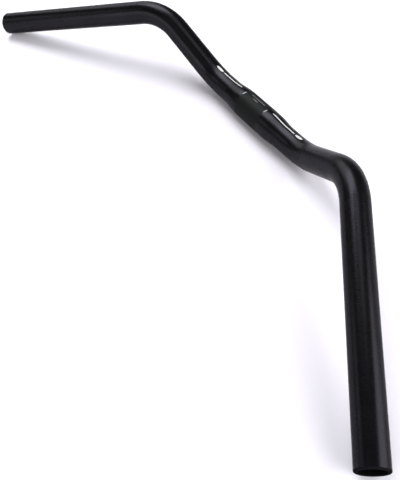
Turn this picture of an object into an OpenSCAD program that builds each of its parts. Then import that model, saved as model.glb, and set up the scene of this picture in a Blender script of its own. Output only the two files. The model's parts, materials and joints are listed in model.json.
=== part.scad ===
// Swept and raised bicycle handlebar, one bent and swaged aluminium tube.
// All lengths are in mm and all angles in degrees.
// The origin is the middle of the clamp zone, on the tube's axis.
// X runs along the clamp zone, the grips go back to -Y and Z is up.
// The bar lies as it comes to rest on a flat floor: on its clamp zone and on the ends of both grips.

/* [Clamp zone] */
// Diameter of the swaged zone that the stem holds
clamp_d = 25.4; // [24:0.1:32]
// Length of the zone at its full diameter
clamp_len = 42; // [30:1:54]
// Length of the taper on each side, from the clamp zone down to the tube
taper_len = 22; // [10:1:24]
// Wall thickness in the clamp zone
clamp_wall = 3; // [2:0.1:4]

/* [Tube] */
// Diameter of the tube, which takes the grips and levers
tube_d = 22.2; // [20:0.1:23.8]
// Wall thickness of the tube
wall = 2.4; // [1.6:0.1:3.4]
// Width of the deburring chamfers on the sawn ends, outside and inside
end_chamfer = 0.5; // [0.2:0.1:0.7]

/* [Bar shape] */
// Overall width over the ends of the grips
bar_width = 640; // [600:10:760]
// Straight length in the middle, between the two riser bends
straight_len = 105; // [104:1:120]
// Height of the grip bends above the clamp zone, with the risers held upright
rise = 43.5; // [40:0.5:60]
// Angle of the risers above the clamp zone
riser_angle = 30; // [26:0.5:36]
// Centreline radius of the riser bends
riser_bend_r = 70; // [50:1:80]
// Sweep of the grips back from the line of the clamp zone
back_sweep = 36.5; // [25:0.5:45]
// Slope of the grips down towards their ends, with the risers held upright
down_slope = 3; // [0:0.5:6]
// Centreline radius of the grip bends
grip_bend_r = 56; // [45:1:64]

/* [Hidden] */

$fn = 52;
clamp_r = clamp_d / 2;
tube_r = tube_d / 2;
clamp_bore_r = clamp_r - clamp_wall;
bore_r = tube_r - wall;
taper_steps = 5;
// Bending draws the tube out a little, so the bends are thinner than the straight runs by
// this much in radius, outside and in the bore
bend_thinning = 0.03;
// The straight runs reach this far into the bends beside them, and taper off by this much
tongue_len = 2;
tongue_taper = 0.1;
// The bore runs this far past the sawn ends, so that it cuts them open
bore_over = 1;
bar_colour = [0.05, 0.05, 0.055];

// Directions of the riser and of the grip, with the risers held upright
riser_dir = [cos(riser_angle), 0, sin(riser_angle)];
grip_dir = [
    cos(back_sweep) * cos(down_slope),
    -sin(back_sweep) * cos(down_slope),
    -sin(down_slope)
];

// Corners of the centreline: where the straight runs would meet without bends
riser_corner_x = straight_len / 2 + riser_bend_r * tan(riser_angle / 2);
riser_run = rise / sin(riser_angle);
grip_corner = [riser_corner_x + riser_run * riser_dir.x, 0, rise];
grip_end_x = bar_width / 2 - tube_r * sqrt(1 - grip_dir.x ^ 2);
grip_run = (grip_end_x - grip_corner.x) / grip_dir.x;
grip_end = grip_corner + grip_run * grip_dir;

// Angle of the grip bend, and the lengths left straight between the bends
grip_bend_angle = acos(riser_dir * grip_dir);
riser_straight = riser_run - riser_bend_r * tan(riser_angle / 2)
    - grip_bend_r * tan(grip_bend_angle / 2);
grip_straight = grip_run - grip_bend_r * tan(grip_bend_angle / 2);

// Turn of the grip bend's plane about the riser, counted from the side that riser_side faces
riser_side = [-sin(riser_angle), 0, cos(riser_angle)];
bend_roll = atan2(grip_dir.y, grip_dir * riser_side);

// Height of a grip end's lowest point above the clamp zone's, at a turn about X
function sag(turn) = let (
    back = grip_end.y * sin(turn) + grip_end.z * cos(turn),
    slope = grip_dir.y * sin(turn) + grip_dir.z * cos(turn)
) back - tube_r * sqrt(1 - slope ^ 2) + clamp_r;

// The turn about X at which the clamp zone and both grip ends touch the floor
function lying_turn(low, high, rounds) = let (middle = (low + high) / 2)
    rounds == 0 ? middle
    : sag(middle) > 0 ? lying_turn(middle, high, rounds - 1)
    : lying_turn(low, middle, rounds - 1);
lie = lying_turn(0, 89, 40);

// Share of the taper's step that is still at the clamp zone's radius, from 1 to 0
function taper_share(part) = 1 - part ^ 2 * (3 - 2 * part);

// One side of the middle's outline, from the full diameter out to the plain tube
function taper_points(inner_r, outer_r) = [
    for (i = [0 : taper_steps])
        let (part = i / taper_steps)
        [outer_r + (inner_r - outer_r) * taper_share(part), clamp_len / 2 + taper_len * part]
];

// Outline of the tapered tongue with which a run of radius r reaches into the bend beyond z,
// which is up the run's axis where way is 1 and down it where way is -1
function tongue(r, z, way) = [[r, z], [r - tongue_taper, z + way * tongue_len], [0, z + way * tongue_len]];
function reversed(points) = [for (i = [len(points) - 1 : -1 : 0]) points[i]];

// The straight middle along Z, swaged out to mid_r and tapering to end_r
module swaged_middle(mid_r, end_r) {
    half = straight_len / 2;
    upper = concat(taper_points(mid_r, end_r), tongue(end_r, half, 1));
    lower = [for (point = reversed(upper)) [point.x, -point.y]];
    rotate_extrude()
        polygon(concat(lower, upper));
}

// A straight run along Z, with what follows it
module straight(run, r) {
    rotate_extrude()
        polygon(concat(reversed(tongue(r, 0, -1)), tongue(r, run, 1)));
    translate([0, 0, run])
        children();
}

// A bend that starts along Z and turns towards X, or towards the side that roll gives, with
// what follows it. Its circle is turned back, so that the facets of a mesh line up.
module bend(bend_r, angle, r, roll = 0) {
    rotate([0, 0, roll])
        translate([bend_r, 0, 0]) {
            rotate([-90, 0, 0])
                rotate_extrude(angle = angle, start = 180)
                    translate([bend_r, 0])
                        rotate(roll)
                            circle(r = r - bend_thinning);
            rotate([0, angle, 0])
                translate([-bend_r, 0, 0])
                    rotate([0, 0, -roll])
                        children();
        }
}

// One side of the bar along Z, from the end of the middle to the grip, which is its child
module arm(r) {
    bend(riser_bend_r, riser_angle, r)
        straight(riser_straight, r)
            bend(grip_bend_r, grip_bend_angle, r, bend_roll)
                children();
}

// The outside of the straight grip run, with the deburring chamfer of its sawn end
module outer_grip() {
    rotate_extrude()
        polygon(concat(reversed(tongue(tube_r, 0, -1)), [
            [tube_r, grip_straight - end_chamfer],
            [tube_r - end_chamfer, grip_straight],
            [0, grip_straight]
        ]));
}

// The bore of the grip run, flared by the chamfer at its mouth and run past the sawn end
module grip_bore() {
    mouth_r = bore_r + end_chamfer;
    rotate_extrude()
        polygon(concat(reversed(tongue(bore_r, 0, -1)), [
            [bore_r, grip_straight - end_chamfer],
            [mouth_r, grip_straight],
            [mouth_r, grip_straight + bore_over],
            [0, grip_straight + bore_over]
        ]));
}

// The middle along X with an arm on each side
module whole_run(mid_r, end_r) {
    rotate([0, 90, 0])
        swaged_middle(mid_r, end_r);
    for (side = [0, 1])
        mirror([side, 0, 0])
            translate([straight_len / 2, 0, 0])
                rotate([0, 90, 0])
                    mirror([1, 0, 0])
                        arm(end_r)
                            children();
}

module handlebar() {
    color(bar_colour)
        rotate([lie, 0, 0])
            difference() {
                whole_run(clamp_r, tube_r)
                    outer_grip();
                whole_run(clamp_bore_r, bore_r)
                    grip_bore();
            }
}

handlebar();
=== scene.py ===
"""A swept-back, raised bicycle handlebar, lying on the floor of a white studio.

Lengths are in metres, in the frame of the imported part: +X along the clamp zone, the grips go back
to -Y, +Z up from the floor. "Along" is the length of the tube's centreline from the middle of the
clamp zone, negative on the left arm; "around" is the angle round the tube, 0 to the front (+Y in
the clamp zone) and 90 degrees on top.
"""

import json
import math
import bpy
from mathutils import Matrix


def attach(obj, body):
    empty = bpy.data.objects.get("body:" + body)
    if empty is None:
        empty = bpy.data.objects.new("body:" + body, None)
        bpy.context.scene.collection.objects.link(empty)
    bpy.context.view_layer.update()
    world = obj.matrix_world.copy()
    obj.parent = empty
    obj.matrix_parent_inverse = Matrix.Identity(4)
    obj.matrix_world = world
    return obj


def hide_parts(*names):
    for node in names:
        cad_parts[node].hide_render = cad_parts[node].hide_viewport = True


bl_info = {
    "name": "Bicycle handlebar",
    "version": (1, 0, 0),
    "blender": (4, 5, 0),
    "location": "3D View > Sidebar > Handlebar",
    "description": "Builds a swept-back bicycle handlebar, its print and its studio",
    "category": "Object",
}

from collections import namedtuple

import bpy
import numpy as np
from mathutils import Matrix

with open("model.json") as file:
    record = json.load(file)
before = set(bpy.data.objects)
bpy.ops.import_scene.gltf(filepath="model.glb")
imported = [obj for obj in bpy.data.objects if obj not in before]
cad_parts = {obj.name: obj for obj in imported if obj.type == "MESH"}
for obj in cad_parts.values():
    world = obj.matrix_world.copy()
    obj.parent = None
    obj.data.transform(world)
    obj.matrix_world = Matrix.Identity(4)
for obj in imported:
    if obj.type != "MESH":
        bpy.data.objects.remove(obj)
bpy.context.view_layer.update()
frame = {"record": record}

MOUNTS = {mount["name"]: mount for mount in frame["record"]["mounts"]}
CLAMP_RADIUS = MOUNTS["stem_clamp"]["dims"]["r_mm"] / 1000
CLAMP_LENGTH = MOUNTS["stem_clamp"]["dims"]["length_mm"] / 1000
TUBE_RADIUS = MOUNTS["grip_seat_right"]["dims"]["r_mm"] / 1000
BORE_RADIUS = MOUNTS["end_bore_right"]["dims"]["r_mm"] / 1000
GRIP_AXIS = np.array(MOUNTS["grip_seat_right"]["axis"], float)
FLOOR_HEIGHT = -CLAMP_RADIUS

UP = np.array([0.0, 0.0, 1.0])

# Corners of each ring of the tube's skin
SIDES = 96
# Greatest distance between two rings in the middle, riser bend, riser, grip bend and grip
RING_SPACING = (0.0012, 0.0011, 0.0025, 0.0011, 0.0040)
# The evenly spaced rings stop this many chamfers before the end, and these last ones follow
CLEAR_OF_RIM = 5
LAST_RINGS = np.array([3.6, 2.3])
# The skin stays this far inside the ideal circle, as the solid's facets do
SKIN_INSET = 0.000015
# It stays this much further inside in the grip bends, and the difference fades over a length
BEND_THINNING = 0.00006
BEND_FADE = 0.006
# Radius of the rounding of the outer edge in chamfers, and its number of rings
EDGE_ROUNDING = 2.0
EDGE_RINGS = 8
# Outline of the bore's edge in chamfers: in from the end, and out from the bore
BORE_EDGE = np.array([[0.0, 0.55], [0.05, 0.45], [0.25, 0.25], [0.45, 0.05], [0.55, 0.0]])
# Numbers of the tube's materials
COAT, RIM, BORE = 0, 1, 2

# Grid of a patch of print, how far its ink stands over the tube, and how far it goes below
PATCH_ROWS, PATCH_COLUMNS = 25, 9
INK, SUNK = 0.00004, 0.00012
# Share of the half length at which the outline is taken for the patch's ends, which keeps
# them from shrinking to a point
PATCH_END = 0.995
# An outline's bluntness is 2 for an ellipse, and a greater one comes nearer to a rectangle
OVAL_BLUNTNESS, TICK_BLUNTNESS, STRIPE_BLUNTNESS = 2.2, 6, 8
OVAL_GAP = 0.001
WHITE_WEAR, GREY_WEAR = 0.25, 0.4

# The fine scale: ticks, of which each fifth is longer, and a row of dashes above them
TICK_STEP = 0.0018
TICK_STEPS = range(-5, 6)
STEPS_TO_LONG_TICK = 5
TICK_AROUND = math.radians(58)
TICK_HALF_WIDTH = 0.00026
TICK_REACH, LONG_TICK_REACH = 0.0006, 0.0009
DASH_STEPS = range(-2, 2)
DASH_AROUND = math.radians(71)
DASH_HALF_LENGTH, DASH_HALF_WIDTH = 0.0006, 0.0003

# Numbers of the Mix node's sockets: the share, the two values and the result
MIX_SOCKETS = {"FLOAT": (0, 2, 3, 0), "RGBA": (0, 6, 7, 2)}
# Nearly all of a noise's values lie between these
NOISE_SPAN = 0.3, 0.7
# Values of the noise between which the coat goes from its shade to its colour, and the ink
# from whole to worn
COAT_CLOUDS = 0.35, 0.65
INK_CLOUDS = 0.3, 0.75
# Scales along the tube and in the two directions across it, for fine lines around the tube or
# along it, and for the part of a place across the tube alone
LINES_AROUND = 2600, 240, 240
LINES_ALONG = 25, 1900, 1900
ACROSS = 0, 1, 1
# Height of the lines around in the coat, as a share of the orange peel's
LINES_HEIGHT = 0.35
# Darkest share of the colour of the rims, the bore and the worn ink
RIM_SHADE, BORE_SHADE, WORN_SHADE = 0.75, 0.6, 0.55
# Roughness of the finishes, from the low to the high end of their noise
SATIN_ROUGHNESS = 0.26, 0.30
SATIN_PATCHES = -0.025, 0.025
MATTE_ROUGHNESS = 0.56
RIM_ROUGHNESS = 0.45, 0.6
BORE_ROUGHNESS = 0.48, 0.62
INK_ROUGHNESS = 0.42, 0.55
CLOTH_ROUGHNESS = 0.9
# Tint of the coat's gloss at grazing angles
GRAZING_TINT = (0.56, 0.56, 0.56, 1)
# Half the width over which the matte zone goes over into the satin coat
MATTE_EDGE = 0.0002

# Darker and lighter grain of the floor's paper and of the tent's cloth
PAPER = (0.89, 0.868, 0.942), (0.91, 0.888, 0.962)
CLOTH = (0.010, 0.010, 0.010), (0.014, 0.014, 0.014)
FLOOR_HALF = 6
# Distances from the middle between which the floor turns plain white
FLOOR_FADE = 0.9, 1.7
TENT_RADIUS = 4.0
# Elevations between which the tent stands, open at its foot and closed nearly to the zenith
TENT_LOWEST, TENT_HIGHEST = math.radians(4), math.pi / 2 - 0.01
TENT_ROWS, TENT_COLUMNS = 16, 48

# Directions in degrees, from +Y towards +X and up from the floor, then metres and radiance
Lamp = namedtuple("Lamp", "name azimuth elevation distance width height radiance")
LAMPS = (
    Lamp("far_lamp", -77, 52, 2.0, 1.20, 1.08, 7.8),
    Lamp("far_card", -83, 24, 2.0, 1.20, 0.80, 3.2),
    Lamp("front_lamp", 58, 26, 2.2, 3.0, 1.9, 4.75),
    Lamp("top_card", -10, 77, 1.0, 0.36, 0.36, 2.2),
    Lamp("rear_lamp", 174, 18, 2.2, 2.1, 1.0, 2.5),
    Lamp("left_card", -138, 25, 2.2, 0.7, 0.8, 1.4),
    Lamp("near_card", 160, 58, 2.2, 1.6, 0.9, 0.3),
)

PHOTO_HEIGHT = 480
SENSOR_HEIGHT = 24.0
CLIP_START, CLIP_END = 0.01, 50

# A spot of print: its middle along and around the tube, half its length along the tube, half
# its width around it, and the bluntness of its outline
Spot = namedtuple("Spot", "along around half_length half_width bluntness")


# Settings that a user may change


def length(name, text, default):
    """A length in metres that the user may change."""
    return bpy.props.FloatProperty(
        name=name, description=text, default=default, min=0.0, unit="LENGTH", precision=5
    )


def turn(name, text, degrees):
    """An angle that the user may change, given in degrees."""
    return bpy.props.FloatProperty(
        name=name, description=text, default=math.radians(degrees), subtype="ANGLE"
    )


def colour(name, text, default):
    """A colour that the user may change."""
    return bpy.props.FloatVectorProperty(
        name=name, description=text, default=default, size=3, min=0, max=1, subtype="COLOR"
    )


def amount(name, text, default):
    """A plain number that the user may change."""
    return bpy.props.FloatProperty(name=name, description=text, default=default)


class BarSizes(bpy.types.PropertyGroup):
    """The sizes of the bent tube."""

    centre_length: length("Centre length", "Straight stretch between the riser bends", 0.105)
    clamp_radius: length("Clamp radius", "Radius of the clamp zone", CLAMP_RADIUS)
    clamp_length: length("Clamp length", "Length of the clamp zone", CLAMP_LENGTH)
    taper_length: length("Taper length", "Length of the taper beside the clamp zone", 0.022)
    clamp_wall: length("Clamp wall", "Wall of the tube in the clamp zone", 0.003)
    tube_radius: length("Tube radius", "Radius of the tube outside the clamp zone", TUBE_RADIUS)
    bore_radius: length("Bore radius", "Radius of the bore outside the clamp zone", BORE_RADIUS)
    end_chamfer: length("End chamfer", "Chamfer round each end", 0.0005)
    width: length("Width", "Width over both ends", 0.64)
    rise: length("Rise", "Height of the grips' corners over the clamp zone", 0.0435)
    riser_angle: turn("Riser angle", "Angle of the risers to the clamp zone", 30)
    riser_bend: length("Riser bend", "Centreline radius of the bends below the risers", 0.07)
    back_sweep: turn("Back sweep", "Angle by which the grips point back", 36.5)
    down_slope: turn("Down slope", "Angle by which the grips point down", 3)
    grip_bend: length("Grip bend", "Centreline radius of the bends between riser and grip", 0.056)


class FinishColours(bpy.types.PropertyGroup):
    """The colours of the coat and the print."""

    coat: colour("Coat", "Satin black of the tube", (0.0168, 0.0161, 0.0192))
    coat_shade: colour("Coat shade", "Darker patches of the satin black", (0.0146, 0.0140, 0.0167))
    blasted: colour("Blasted zone", "Matte black between the marks", (0.0148, 0.0156, 0.0157))
    rim: colour("Rim", "Oxide on the cut ends", (0.0100, 0.0097, 0.0110))
    bore: colour("Bore", "Oxide in the bore", (0.0045, 0.0043, 0.0052))
    white_print: colour("White print", "Stripes beside the clamp zone", (0.60, 0.60, 0.60))
    grey_print: colour("Grey print", "Alignment marks and scale", (0.36, 0.36, 0.37))


class PrintPlaces(bpy.types.PropertyGroup):
    """Where the print sits on the tube."""

    mark_aside: length("Mark aside", "How far left of the middle the marks sit", 0.0022)
    stripe_aside: length("Stripe aside", "How far left of the middle the stripes sit", 0.0033)
    mark_at: length("Mark at", "Distance of each alignment mark from the middle", 0.0167)
    mark_width: length("Mark width", "Width of an alignment mark", 0.0009)
    mark_length: length("Mark length", "Length of an alignment mark round the tube", 0.0047)
    mark_around: turn("Mark around", "Place of the alignment marks round the tube", 77)
    stripe_near: length("Stripe start", "Inner end of a stripe", 0.0245)
    stripe_far: length("Stripe end", "Outer end of a stripe", 0.0575)
    stripe_width: length("Stripe width", "Width of a stripe", 0.00125)
    oval_far: length("Oval end", "Outer end of the oval beside a stripe", 0.0700)
    oval_width: length("Oval width", "Width of the oval", 0.0032)
    stripe_around: turn("Stripe around", "Place of the stripes round the tube", 61.5)


class StudioSettings(bpy.types.PropertyGroup):
    """The camera and the light."""

    eye: bpy.props.FloatVectorProperty(
        name="Eye",
        description="Place of the camera",
        default=(0.436166, -0.261707, 0.392906),
        size=3,
        subtype="TRANSLATION",
        precision=5,
    )
    heading: turn("Heading", "Direction in plan, from +Y towards +X", math.degrees(-1.1669451))
    pitch: turn("Pitch", "Direction above the horizon", math.degrees(-0.8230982))
    roll: turn("Roll", "Turn of the camera about its own axis", math.degrees(-0.1659351))
    focal_pixels: amount("Focal length", "Focal length in pixels of the photograph", 706.351)
    room_light: amount("Room", "Strength of the light of the room", 0.078)
    glow: amount("Floor glow", "What the floor gives the camera by itself", 0.02)


# The centreline


def turned(vectors, axis, angles):
    """Each vector turned about the unit axis by its own angle.

    v cos a + (axis x v) sin a + axis (axis . v) (1 - cos a)
    """
    cos, sin = np.cos(angles)[:, None], np.sin(angles)[:, None]
    along_axis = (vectors @ axis)[:, None] * axis
    return vectors * cos + np.cross(axis, vectors) * sin + along_axis * (1 - cos)


def arc(run, radius, start, inward):
    """A walk of each length along a circle: R sin(run / R) start + R (1 - cos(run / R)) inward."""
    angle = (run / radius)[:, None]
    return radius * (np.sin(angle) * start + (1 - np.cos(angle)) * inward)


class Centreline:
    """The tube's path, laid down on the floor.

    On each side of the middle it is a straight line, an arc up into the riser, a straight line,
    an arc back into the grip and a straight line.
    """

    def __init__(self, sizes):
        clamp = np.array([1.0, 0.0, 0.0])
        riser = np.array([math.cos(sizes.riser_angle), 0.0, math.sin(sizes.riser_angle)])
        grip = np.array(
            [
                math.cos(sizes.back_sweep) * math.cos(sizes.down_slope),
                -math.sin(sizes.back_sweep) * math.cos(sizes.down_slope),
                -math.sin(sizes.down_slope),
            ]
        )
        grip_turn = math.acos(riser @ grip)
        riser_cut = sizes.riser_bend * math.tan(sizes.riser_angle / 2)
        grip_cut = sizes.grip_bend * math.tan(grip_turn / 2)
        riser_run = sizes.rise / math.sin(sizes.riser_angle)
        corner_x = sizes.centre_length / 2 + riser_cut + riser_run * riser[0]
        end_x = sizes.width / 2 - sizes.tube_radius * math.sqrt(1 - grip[0] ** 2)
        grip_run = (end_x - corner_x) / grip[0]

        self.sizes = sizes
        self.directions = clamp, riser, grip
        self.runs = np.array(
            [
                sizes.centre_length / 2,
                sizes.riser_bend * sizes.riser_angle,
                riser_run - riser_cut - grip_cut,
                sizes.grip_bend * grip_turn,
                grip_run - grip_cut,
            ]
        )
        self.starts = np.concatenate([[0.0], np.cumsum(self.runs)])
        self.reach = self.starts[-1]
        lie = math.atan2(GRIP_AXIS[2], GRIP_AXIS[1]) - math.atan2(grip[2], grip[1])
        self.lay_down = np.array(
            [[1, 0, 0], [0, math.cos(lie), -math.sin(lie)], [0, math.sin(lie), math.cos(lie)]]
        )

    def at(self, along):
        """Points, and the unit vectors to the tube's front and top, carried along without twist.

        The way up to each place is cut into the five stretches, and each adds its straight line
        or arc. The left arm is worked out as the right one, and its X is turned round.
        """
        clamp, riser, grip = self.directions
        sizes = self.sizes
        stretches = zip(self.starts, self.runs)
        walk = [np.clip(np.abs(along) - start, 0, run) for start, run in stretches]
        towards_grip = grip - riser * (riser @ grip)
        towards_grip /= np.linalg.norm(towards_grip)
        points = (
            walk[0][:, None] * clamp
            + arc(walk[1], sizes.riser_bend, clamp, UP)
            + walk[2][:, None] * riser
            + arc(walk[3], sizes.grip_bend, riser, towards_grip)
            + walk[4][:, None] * grip
        )
        riser_turn, grip_turn = walk[1] / sizes.riser_bend, walk[3] / sizes.grip_bend
        riser_axis, grip_axis = np.cross(clamp, UP), np.cross(riser, towards_grip)

        def carried(vector):
            """The vector turned about both bends' axes, as far as each place has come."""
            start = np.repeat([vector], len(along), axis=0)
            return turned(turned(start, riser_axis, riser_turn), grip_axis, grip_turn)

        mirror = np.where(along < 0, -1.0, 1.0)[:, None] * [1, 0, 0] + [0, 1, 1]
        found = points, carried(np.array([0.0, 1.0, 0.0])), carried(UP)
        return [vectors @ self.lay_down.T * mirror for vectors in found]


def eased(share):
    """A share from 0 to 1 that starts and ends level: 3t^2 - 2t^3."""
    return share * share * (3 - 2 * share)


def swaged(along, middle, end, sizes):
    """The middle radius over the clamp zone, the end radius beyond the tapers, eased between."""
    share = np.clip((np.abs(along) - sizes.clamp_length / 2) / sizes.taper_length, 0, 1)
    return middle + (end - middle) * eased(share)


def thinned(line, along):
    """How far the skin stays inside the ideal circle: the inset, and more in the grip bends."""
    first, last = line.starts[3], line.starts[4]
    inside = np.minimum(np.abs(along) - first, last - np.abs(along))
    return SKIN_INSET + BEND_THINNING * eased(np.clip(inside / BEND_FADE, 0, 1))


def on_tube(line, along, around, radius):
    """Points of the tube: centre + radius (cos around to the front + sin around to the top)."""
    centre, front, top = line.at(along.ravel())
    radius = radius - thinned(line, along)
    around, radius = around.ravel()[:, None], radius.ravel()[:, None]
    return centre + radius * (np.cos(around) * front + np.sin(around) * top)


# Meshes


def grid_faces(rows, columns, rows_close, columns_close):
    """Corner numbers of a grid's quads, and the row and column of each quad's first corner.

    The quad at (row, column) takes the points there, one column on, one row and one column on,
    and one row on, and in a direction that closes the last point is followed by the first.
    """
    row, column = np.meshgrid(
        np.arange(rows if rows_close else rows - 1),
        np.arange(columns if columns_close else columns - 1),
        indexing="ij",
    )
    row, column = row.ravel(), column.ravel()
    next_row, next_column = (row + 1) % rows, (column + 1) % columns
    corners = [row * columns + column, row * columns + next_column]
    corners += [next_row * columns + next_column, next_row * columns + column]
    return np.stack(corners, axis=1), row, column


def add_mesh(name, vertices, faces, materials):
    """A mesh object at the origin."""
    mesh = bpy.data.meshes.new(name)
    mesh.from_pydata(vertices.tolist(), [], faces.tolist())
    for material in materials:
        mesh.materials.append(material)
    thing = bpy.data.objects.new(name, mesh)
    bpy.context.scene.collection.objects.link(thing)
    return thing


def add_piece(name, vertices, faces, materials, face_material=None):
    """A smooth mesh object that rides on the bar."""
    piece = add_mesh(name, vertices, faces, materials)
    mesh = piece.data
    if face_material is not None:
        mesh.polygons.foreach_set("material_index", face_material.astype(np.int32))
    mesh.polygons.foreach_set("use_smooth", np.ones(len(faces), bool))
    mesh.update()
    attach(piece, "root")
    return piece


def add_point_vectors(mesh, name, vectors):
    """Stores a vector on each vertex for the materials to read."""
    attribute = mesh.attributes.new(name, "FLOAT_VECTOR", "POINT")
    attribute.data.foreach_set("vector", vectors.astype(np.float32).ravel())


def stations(line):
    """Places of the rings from end to end, evenly spaced in each stretch of the centreline."""
    right = [
        np.linspace(start, start + run, max(2, math.ceil(run / spacing)), endpoint=False)
        for start, run, spacing in zip(line.starts, line.runs, RING_SPACING)
    ]
    right = np.concatenate(right)
    chamfer = line.sizes.end_chamfer
    right = right[right < line.reach - CLEAR_OF_RIM * chamfer]
    right = np.append(right, line.reach - LAST_RINGS * chamfer)
    return np.concatenate([-right[:0:-1], right])


def build_tube(sizes, colours, places):
    """One closed skin: along the outside, over the right rim, back in the bore, over the left.

    Each ring is a circle of the ring's radius about the centreline, in the plane across it. The
    outer edge of a rim is a quarter circle, and the bore has every other ring of the outside.
    """
    line = Centreline(sizes)
    along = stations(line)
    outside = swaged(along, sizes.clamp_radius, sizes.tube_radius, sizes)
    bore_along = along[::-2]
    bore = swaged(bore_along, sizes.clamp_radius - sizes.clamp_wall, sizes.bore_radius, sizes)

    edge = sizes.end_chamfer
    turned_in = np.linspace(0, np.pi / 2, EDGE_RINGS)
    outer_edge = np.stack([1 - np.sin(turned_in), 1 - np.cos(turned_in)], axis=1)
    outer_edge = outer_edge * EDGE_ROUNDING * edge
    inner_edge = BORE_EDGE * edge
    rim_along = line.reach - np.concatenate([outer_edge[:, 0], inner_edge[:, 0]])
    rim_radius = np.concatenate(
        [sizes.tube_radius - outer_edge[:, 1], sizes.bore_radius + inner_edge[:, 1]]
    )

    ring_along = np.concatenate([along, rim_along, bore_along, -rim_along[::-1]])
    ring_radius = np.concatenate([outside, rim_radius, bore, rim_radius[::-1]])
    rings = len(ring_along)
    rim_start = len(along) - 1
    bore_start = rim_start + len(rim_along)
    finish = np.full(rings, COAT)
    finish[rim_start:] = RIM
    finish[bore_start : bore_start + len(bore_along) + 1] = BORE

    angle = np.arange(SIDES) * 2 * np.pi / SIDES
    along_grid, angle_grid = np.meshgrid(ring_along, angle, indexing="ij")
    radius_grid = np.repeat(ring_radius[:, None], SIDES, axis=1)
    vertices = on_tube(line, along_grid, angle_grid, radius_grid)
    faces, row, column = grid_faces(rings, SIDES, True, True)
    materials = [satin_black(colours, places), cut_rim(colours), oxide_bore(colours)]
    tube = add_piece("bent_tube", vertices, faces, materials, finish[row])

    # The straightened tube, for the materials: along, and the ring's two coordinates
    unbent = [along_grid, radius_grid * np.cos(angle_grid), radius_grid * np.sin(angle_grid)]
    add_point_vectors(tube.data, "unbent", np.stack([part.ravel() for part in unbent], axis=1))

    # The skin unrolled in metres: the way over the rings, and the way around
    girth = 2 * np.pi * sizes.tube_radius
    steps = np.hypot(np.diff(ring_along), np.diff(ring_radius))
    path = np.concatenate([[0.0], np.cumsum(steps)])
    path = np.append(path, path[-1] + abs(ring_along[0] - ring_along[-1]) + edge)
    corner_row = np.stack([row, row, row + 1, row + 1], axis=1)
    corner_column = np.stack([column, column + 1, column + 1, column], axis=1)
    uv = np.stack([path[corner_row], corner_column / SIDES * girth], axis=2)
    layer = tube.data.uv_layers.new(name="unrolled")
    layer.data.foreach_set("uv", uv.astype(np.float32).ravel())
    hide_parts("handlebar")


def build_print(name, line, spots, material):
    """Thin closed patches of ink that lie on the tube, one for each spot.

    A patch's outline is the rounded oblong |u|^n + |v|^n = 1, with n the spot's bluntness. The
    patch is a grid over (u, v), once above and once just below the tube's surface, and a skirt
    round its edge joins the two.
    """
    u, v = np.meshgrid(
        np.linspace(-1, 1, PATCH_ROWS), np.linspace(-1, 1, PATCH_COLUMNS), indexing="ij"
    )
    edge = np.maximum(np.abs(u), np.abs(v)) == 1
    points = PATCH_ROWS * PATCH_COLUMNS
    quads, _, _ = grid_faces(PATCH_ROWS, PATCH_COLUMNS, False, False)
    number = np.arange(points).reshape(PATCH_ROWS, PATCH_COLUMNS)
    border = np.concatenate(
        [number[:, 0], number[-1, 1:], number[-2::-1, -1], number[0, -2:0:-1]]
    )
    ahead = np.roll(border, -1)
    skirt = np.stack([ahead, border, border + points, ahead + points], axis=1)
    shell = np.concatenate([quads, quads[:, ::-1] + points, skirt])

    vertices, faces, flat = [], [], []
    for spot in spots:
        bluntness = spot.bluntness
        slimmed = (1 - np.abs(u * PATCH_END) ** bluntness) ** (1 / bluntness)
        along = spot.along + spot.half_length * u
        surface = swaged(along, line.sizes.clamp_radius, line.sizes.tube_radius, line.sizes)
        offset = spot.half_width * v * slimmed
        around = spot.around + offset / surface
        upper = np.where(edge, surface - SUNK / 4, surface + INK)
        faces.append(shell + len(vertices) * points)
        vertices.append(on_tube(line, along, around, upper))
        vertices.append(on_tube(line, along, around, surface - SUNK))
        flat += [np.stack([along.ravel(), offset.ravel(), 0 * offset.ravel()], axis=1)] * 2
    patch = add_piece(name, np.concatenate(vertices), np.concatenate(faces), [material])
    add_point_vectors(patch.data, "unrolled", np.concatenate(flat))


# Materials


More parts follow.
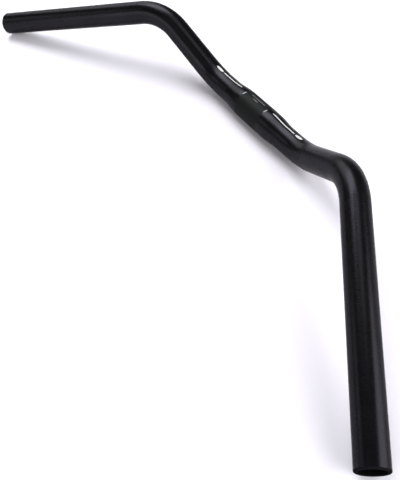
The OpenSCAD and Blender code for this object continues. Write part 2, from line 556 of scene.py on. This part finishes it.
class Shader:
    """The nodes of a material or a world, with short calls that add and join them."""

    def __init__(self, owner, output):
        owner.use_nodes = True
        self.owner = owner
        self.tree = owner.node_tree
        self.tree.nodes.clear()
        self.output = self.node(output)

    def join(self, source, target):
        """Sets the target socket to a value, or joins it to a node's first output or a socket."""
        if isinstance(source, bpy.types.Node):
            source = source.outputs[0]
        if isinstance(source, bpy.types.NodeSocket):
            self.tree.links.new(source, target)
        else:
            target.default_value = source

    def node(self, kind, settings=None, **inputs):
        """A node of the kind, with its settings, and its inputs by name."""
        node = self.tree.nodes.new("ShaderNode" + kind)
        for key, value in (settings or {}).items():
            setattr(node, key, value)
        for key, value in inputs.items():
            self.join(value, node.inputs[key.replace("_", " ")])
        return node

    def filled(self, kind, settings, *values):
        """A node of the kind, with its settings, and its inputs in their order."""
        node = self.node(kind, settings)
        for socket, value in zip(node.inputs, values):
            self.join(value, socket)
        return node

    def stored(self, attribute):
        """The vector that the mesh stores under the attribute's name."""
        return self.node("Attribute", {"attribute_name": attribute}).outputs["Vector"]

    def place(self):
        """The place of each point in its object's own coordinates."""
        return self.node("TexCoord").outputs["Object"]

    def stretched(self, vector, scale):
        """The vector, each part multiplied by the scale's."""
        return self.node("Mapping", Vector=vector, Scale=scale).outputs["Vector"]

    def size(self, vector):
        """The vector's length."""
        return self.node("VectorMath", {"operation": "LENGTH"}, Vector=vector).outputs["Value"]

    def noise(self, vector, scale, detail, roughness):
        """Cloudy values from 0 to 1, with the scale's number of clouds a metre."""
        inputs = {"Scale": scale, "Detail": detail, "Roughness": roughness}
        return self.node("TexNoise", Vector=vector, **inputs).outputs[0]

    def math(self, operation, first, second=0.0):
        """The operation on one or two terms."""
        return self.filled("Math", {"operation": operation}, first, second).outputs[0]

    def between(self, value, low, high, to_low=0.0, to_high=1.0, smooth=False):
        """The value's place between low and high, as a value between the other two."""
        settings = {"interpolation_type": "SMOOTHSTEP"} if smooth else {}
        node = self.filled("MapRange", settings, value, low, high, to_low, to_high)
        return node.outputs[0]

    def mixed(self, share, first, second, kind="RGBA"):
        """The first colour, or with FLOAT the first number, and the second where share is 1."""
        node = self.node("Mix", {"data_type": kind})
        *places, result = MIX_SOCKETS[kind]
        for place, value in zip(places, (share, first, second)):
            self.join(value, node.inputs[place])
        return node.outputs[result]

    def bumped(self, height, distance, strength, below=None):
        """A normal raised by the height times the distance, on top of the bump below."""
        node = self.node("Bump", Height=height, Distance=distance, Strength=strength)
        if below is not None:
            self.join(below, node.inputs["Normal"])
        return node.outputs[0]

    def seen(self):
        """1 for what the camera, gloss or glass looks at, and 0 for the light on all else."""
        ray = self.node("LightPath").outputs
        glints = self.math("MAXIMUM", ray["Is Glossy Ray"], ray["Is Transmission Ray"])
        return self.math("MAXIMUM", ray["Is Camera Ray"], glints)

    def ended(self, surface):
        """Puts the surface out, and gives back the material or the world."""
        self.join(surface, self.output.inputs["Surface"])
        return self.owner

    def coated(self, base, roughness, normal, **inputs):
        """Ends the material in a principled surface."""
        surface = self.node("BsdfPrincipled", Roughness=roughness, Normal=normal, **inputs)
        self.join(base, surface.inputs["Base Color"])
        return self.ended(surface)


def material_shader(name):
    """A shader for a new material."""
    return Shader(bpy.data.materials.new(name), "OutputMaterial")


def rgba(colour_value, share=1.0):
    """A share of a colour, with full alpha."""
    return (*(share * part for part in colour_value), 1.0)


def satin_black(colours, places):
    """Satin black coat over a polished tube, blasted matte between the alignment marks."""
    shader = material_shader("satin_black")
    unbent = shader.stored("unbent")
    along = shader.node("SeparateXYZ", Vector=unbent).outputs["X"]
    along = shader.math("ABSOLUTE", shader.math("ADD", along, places.mark_aside))
    matte_end, satin_start = places.mark_at - MATTE_EDGE, places.mark_at + MATTE_EDGE
    satin = shader.between(along, matte_end, satin_start, smooth=True)

    clouds = shader.noise(unbent, scale=45, detail=4, roughness=0.55)
    clouds = shader.between(clouds, *COAT_CLOUDS)
    tone = shader.mixed(clouds, rgba(colours.coat_shade), rgba(colours.coat))
    base = shader.mixed(satin, rgba(colours.blasted), tone)

    skin = shader.noise(unbent, scale=1400, detail=2, roughness=0.5)
    lines_around = shader.stretched(unbent, LINES_AROUND)
    rubbed = shader.noise(lines_around, scale=1, detail=3, roughness=0.6)
    grain = shader.noise(unbent, scale=5200, detail=1, roughness=0.6)
    patches = shader.noise(unbent, scale=120, detail=3, roughness=0.6)
    patches = shader.between(patches, *NOISE_SPAN, *SATIN_PATCHES)
    gloss = shader.between(rubbed, *NOISE_SPAN, *SATIN_ROUGHNESS)
    gloss = shader.math("ADD", gloss, patches)
    roughness = shader.mixed(satin, MATTE_ROUGHNESS, gloss, "FLOAT")

    settings = {"operation": "MULTIPLY_ADD"}
    height = shader.filled("Math", settings, rubbed, LINES_HEIGHT, skin)
    orange_peel = shader.bumped(height, distance=0.000005, strength=0.6)
    blasted = shader.math("MULTIPLY", grain, shader.math("SUBTRACT", 1.0, satin))
    normal = shader.bumped(blasted, distance=0.00003, strength=0.8, below=orange_peel)
    metal = {"Metallic": 0.8, "Specular IOR Level": 0.1, "Specular Tint": GRAZING_TINT}
    return shader.coated(base, roughness, normal, **metal)


def cut_rim(colours):
    """Dark matte oxide on the cut and rounded ends, with the fine rings of the lathe."""
    shader = material_shader("cut_rim")
    unbent = shader.stored("unbent")
    radius = shader.size(shader.stretched(unbent, ACROSS))
    rings = shader.noise(radius, scale=7000, detail=2, roughness=0.6)
    clouds = shader.noise(unbent, scale=260, detail=3, roughness=0.6)
    base = shader.mixed(clouds, rgba(colours.rim, RIM_SHADE), rgba(colours.rim))
    roughness = shader.between(rings, *NOISE_SPAN, *RIM_ROUGHNESS)
    normal = shader.bumped(rings, distance=0.00002, strength=0.8)
    return shader.coated(base, roughness, normal, Specular_IOR_Level=0.0)


def oxide_bore(colours):
    """Dark oxide on the drawn bore, with fine lines along the tube."""
    shader = material_shader("oxide_bore")
    unbent = shader.stored("unbent")
    lines_along = shader.stretched(unbent, LINES_ALONG)
    lines = shader.noise(lines_along, scale=1, detail=3, roughness=0.6)
    clouds = shader.noise(unbent, scale=160, detail=3, roughness=0.6)
    base = shader.mixed(clouds, rgba(colours.bore, BORE_SHADE), rgba(colours.bore))
    roughness = shader.between(clouds, *NOISE_SPAN, *BORE_ROUGHNESS)
    normal = shader.bumped(lines, distance=0.00003, strength=0.7)
    return shader.coated(base, roughness, normal, Specular_IOR_Level=0.0)


def ink(name, tint, wear):
    """Printed ink with a faint grain of pores, matter than the coat under it."""
    shader = material_shader(name)
    flat = shader.stored("unrolled")
    pores = shader.noise(flat, scale=9000, detail=2, roughness=0.6)
    clouds = shader.noise(flat, scale=420, detail=3, roughness=0.6)
    worn = shader.between(clouds, *INK_CLOUDS, 0, wear)
    base = shader.mixed(worn, rgba(tint), rgba(tint, WORN_SHADE))
    roughness = shader.between(pores, *NOISE_SPAN, *INK_ROUGHNESS)
    return shader.coated(base, roughness, shader.bumped(pores, distance=0.000008, strength=0.6))


# The studio


def studio_floor(glow_strength):
    """White paper that keeps the shadows, and glows a little for the camera, gloss and glass.

    The glow rises to plain white away from the bar, so that no horizon shows.
    """
    shader = material_shader("studio_floor")
    place = shader.place()
    grain = shader.noise(place, scale=900, detail=3, roughness=0.6)
    base = shader.mixed(grain, *map(rgba, PAPER))
    normal = shader.bumped(grain, distance=0.00002, strength=0.5)
    paper = shader.node("BsdfDiffuse", Color=base, Normal=normal)
    away = shader.size(place)
    strength = shader.between(away, *FLOOR_FADE, glow_strength, 1.0, smooth=True)
    glow = shader.node("Emission", Color=(1, 1, 1, 1), Strength=strength)
    both = shader.filled("AddShader", {}, paper, glow)
    return shader.ended(shader.filled("MixShader", {}, shader.seen(), paper, both))


def black_cloth():
    """Black cloth of the tent, which the gloss of the tube shows and the camera doesn't."""
    shader = material_shader("black_cloth")
    weave = shader.noise(shader.place(), scale=300, detail=2, roughness=0.5)
    base = shader.mixed(weave, *map(rgba, CLOTH))
    normal = shader.bumped(weave, distance=0.0005, strength=0.5)
    return shader.coated(base, CLOTH_ROUGHNESS, normal)


def add_floor(glow_strength):
    """A level square under the bar, at the height on which it rests."""
    corners = np.array([[-1, -1], [1, -1], [1, 1], [-1, 1]]) * FLOOR_HALF
    vertices = np.column_stack([corners, np.full(4, FLOOR_HEIGHT)])
    faces = np.array([[0, 1, 2, 3]])
    floor = add_mesh("studio_floor", vertices, faces, [studio_floor(glow_strength)])


def direction(azimuth, elevation):
    """The unit vector to an azimuth from +Y towards +X and an elevation.

    (cos e sin a, cos e cos a, sin e)
    """
    level = np.cos(elevation)
    parts = [level * np.sin(azimuth), level * np.cos(azimuth), np.sin(elevation)]
    return np.stack(parts, axis=-1)


def add_tent():
    """A dome of black cloth round the set: the radius times the direction to each grid point."""
    azimuth, elevation = np.meshgrid(
        np.arange(TENT_COLUMNS) * 2 * np.pi / TENT_COLUMNS,
        np.linspace(TENT_LOWEST, TENT_HIGHEST, TENT_ROWS),
        indexing="xy",
    )
    vertices = (TENT_RADIUS * direction(azimuth, elevation)).reshape(-1, 3)
    faces, _, _ = grid_faces(TENT_ROWS, TENT_COLUMNS, False, True)
    tent = add_mesh("black_tent", vertices, faces, [black_cloth()])
    tent.visible_camera = tent.visible_diffuse = tent.visible_shadow = False


def placed(right, up, back, place):
    """The matrix of a camera or lamp that looks against back, from its place."""
    rows = np.eye(4)
    rows[:3] = np.column_stack([right, up, back, place])
    return Matrix(rows.tolist())


def add_lamp(lamp):
    """A soft rectangular lamp that hangs in a direction from the bar and faces it.

    Its power is the radiance times its area times pi.
    """
    light = bpy.data.lights.new(lamp.name, "AREA")
    light.shape, light.size, light.size_y = "RECTANGLE", lamp.width, lamp.height
    light.energy = lamp.radiance * lamp.width * lamp.height * math.pi
    back = direction(math.radians(lamp.azimuth), math.radians(lamp.elevation))
    side = np.cross(UP, back)
    side /= np.linalg.norm(side)
    holder = bpy.data.objects.new(lamp.name, light)
    holder.matrix_world = placed(side, np.cross(back, side), back, back * lamp.distance)
    holder.visible_camera = False
    bpy.context.scene.collection.objects.link(holder)


def add_camera(settings):
    """The camera at the photograph's angle: forward from heading and pitch, then rolled."""
    forward = direction(settings.heading, settings.pitch)
    level = np.cross(forward, UP)
    level /= np.linalg.norm(level)
    raised = np.cross(level, forward)
    cos, sin = math.cos(settings.roll), math.sin(settings.roll)
    lens = bpy.data.cameras.new("photo_camera")
    lens.sensor_fit = "VERTICAL"
    lens.sensor_height = SENSOR_HEIGHT
    lens.lens = settings.focal_pixels * SENSOR_HEIGHT / PHOTO_HEIGHT
    lens.clip_start, lens.clip_end = CLIP_START, CLIP_END
    camera = bpy.data.objects.new("photo_camera", lens)
    right, up = cos * level + sin * raised, cos * raised - sin * level
    camera.matrix_world = placed(right, up, -forward, settings.eye)
    bpy.context.scene.collection.objects.link(camera)
    bpy.context.scene.camera = camera


def set_world(strength):
    """White where the camera, gloss or glass looks at it, and a dim light on all else."""
    shader = Shader(bpy.data.worlds.new("studio_room"), "OutputWorld")
    lit = shader.node("Background", Color=(1, 1, 1, 1), Strength=strength)
    white = shader.node("Background", Color=(1, 1, 1, 1), Strength=1.0)
    room = shader.filled("MixShader", {}, shader.seen(), lit, white)
    bpy.context.scene.world = shader.ended(room)


# Operators and panel


class HANDLEBAR_OT_tube(bpy.types.Operator):
    """Builds the bent and swaged tube with its bore"""

    bl_idname = "handlebar.tube"
    bl_label = "Bent tube"

    def execute(self, context):
        scene = context.scene
        build_tube(scene.bar_sizes, scene.finish_colours, scene.print_places)
        return {"FINISHED"}


class HANDLEBAR_OT_stripes(bpy.types.Operator):
    """Prints a plain white stripe and an oval on each side of the clamp zone"""

    bl_idname = "handlebar.stripes"
    bl_label = "White stripes"

    def execute(self, context):
        scene = context.scene
        places = scene.print_places
        line = Centreline(scene.bar_sizes)
        white = ink("white_ink", scene.finish_colours.white_print, WHITE_WEAR)
        oval_near = places.stripe_far + OVAL_GAP
        for side, name in ((1, "right"), (-1, "left")):
            spots = [
                Spot(
                    side * (near + far) / 2 - places.stripe_aside,
                    places.stripe_around,
                    (far - near) / 2,
                    width / 2,
                    bluntness,
                )
                for near, far, width, bluntness in (
                    (places.stripe_near, places.stripe_far, places.stripe_width, STRIPE_BLUNTNESS),
                    (oval_near, places.oval_far, places.oval_width, OVAL_BLUNTNESS),
                )
            ]
            build_print("stripe_" + name, line, spots, white)
        return {"FINISHED"}


class HANDLEBAR_OT_marks(bpy.types.Operator):
    """Prints the two alignment marks and the fine scale between them"""

    bl_idname = "handlebar.marks"
    bl_label = "Alignment marks"

    def execute(self, context):
        scene = context.scene
        places = scene.print_places
        line = Centreline(scene.bar_sizes)
        grey = ink("grey_ink", scene.finish_colours.grey_print, GREY_WEAR)
        marks = [
            Spot(
                side * places.mark_at - places.mark_aside,
                places.mark_around,
                places.mark_width / 2,
                places.mark_length / 2,
                STRIPE_BLUNTNESS,
            )
            for side in (-1, 1)
        ]
        build_print("alignment_marks", line, marks, grey)
        ticks = [
            Spot(
                step * TICK_STEP - places.mark_aside,
                TICK_AROUND,
                TICK_HALF_WIDTH,
                TICK_REACH if step % STEPS_TO_LONG_TICK else LONG_TICK_REACH,
                TICK_BLUNTNESS,
            )
            for step in TICK_STEPS
        ]
        dashes = [
            Spot(
                step * TICK_STEP - places.mark_aside,
                DASH_AROUND,
                DASH_HALF_LENGTH,
                DASH_HALF_WIDTH,
                TICK_BLUNTNESS,
            )
            for step in DASH_STEPS
        ]
        build_print("centre_scale", line, ticks + dashes, grey)
        return {"FINISHED"}


class HANDLEBAR_OT_studio(bpy.types.Operator):
    """Sets up the floor, the black cloth, the lamps, the room and the camera"""

    bl_idname = "handlebar.studio"
    bl_label = "Studio"

    def execute(self, context):
        studio = context.scene.studio
        context.scene.view_settings.view_transform = "Standard"
        add_floor(studio.glow)
        add_tent()
        for lamp in LAMPS:
            add_lamp(lamp)
        set_world(studio.room_light)
        add_camera(studio)
        return {"FINISHED"}


class HANDLEBAR_PT_sidebar(bpy.types.Panel):
    """Lists the steps and the sizes"""

    bl_label = "Handlebar"
    bl_idname = "HANDLEBAR_PT_sidebar"
    bl_space_type = "VIEW_3D"
    bl_region_type = "UI"
    bl_category = "Handlebar"

    def draw(self, context):
        for operator in OPERATORS:
            self.layout.operator(operator.bl_idname)
        for name in SETTINGS:
            group = getattr(context.scene, name)
            column = self.layout.column(align=True)
            for key in group.__annotations__:
                column.prop(group, key)


OPERATORS = (HANDLEBAR_OT_tube, HANDLEBAR_OT_stripes, HANDLEBAR_OT_marks, HANDLEBAR_OT_studio)
SETTINGS = {
    "bar_sizes": BarSizes,
    "finish_colours": FinishColours,
    "print_places": PrintPlaces,
    "studio": StudioSettings,
}
CLASSES = (*SETTINGS.values(), *OPERATORS, HANDLEBAR_PT_sidebar)


def register():
    for cls in CLASSES:
        bpy.utils.register_class(cls)
    for name, group in SETTINGS.items():
        setattr(bpy.types.Scene, name, bpy.props.PointerProperty(type=group))


def unregister():
    for name in SETTINGS:
        delattr(bpy.types.Scene, name)
    for cls in reversed(CLASSES):
        bpy.utils.unregister_class(cls)


def main():
    """Builds everything in order."""
    register()
    bpy.ops.handlebar.tube()
    bpy.ops.handlebar.stripes()
    bpy.ops.handlebar.marks()
    bpy.ops.handlebar.studio()


if __name__ == "__main__":
    main()
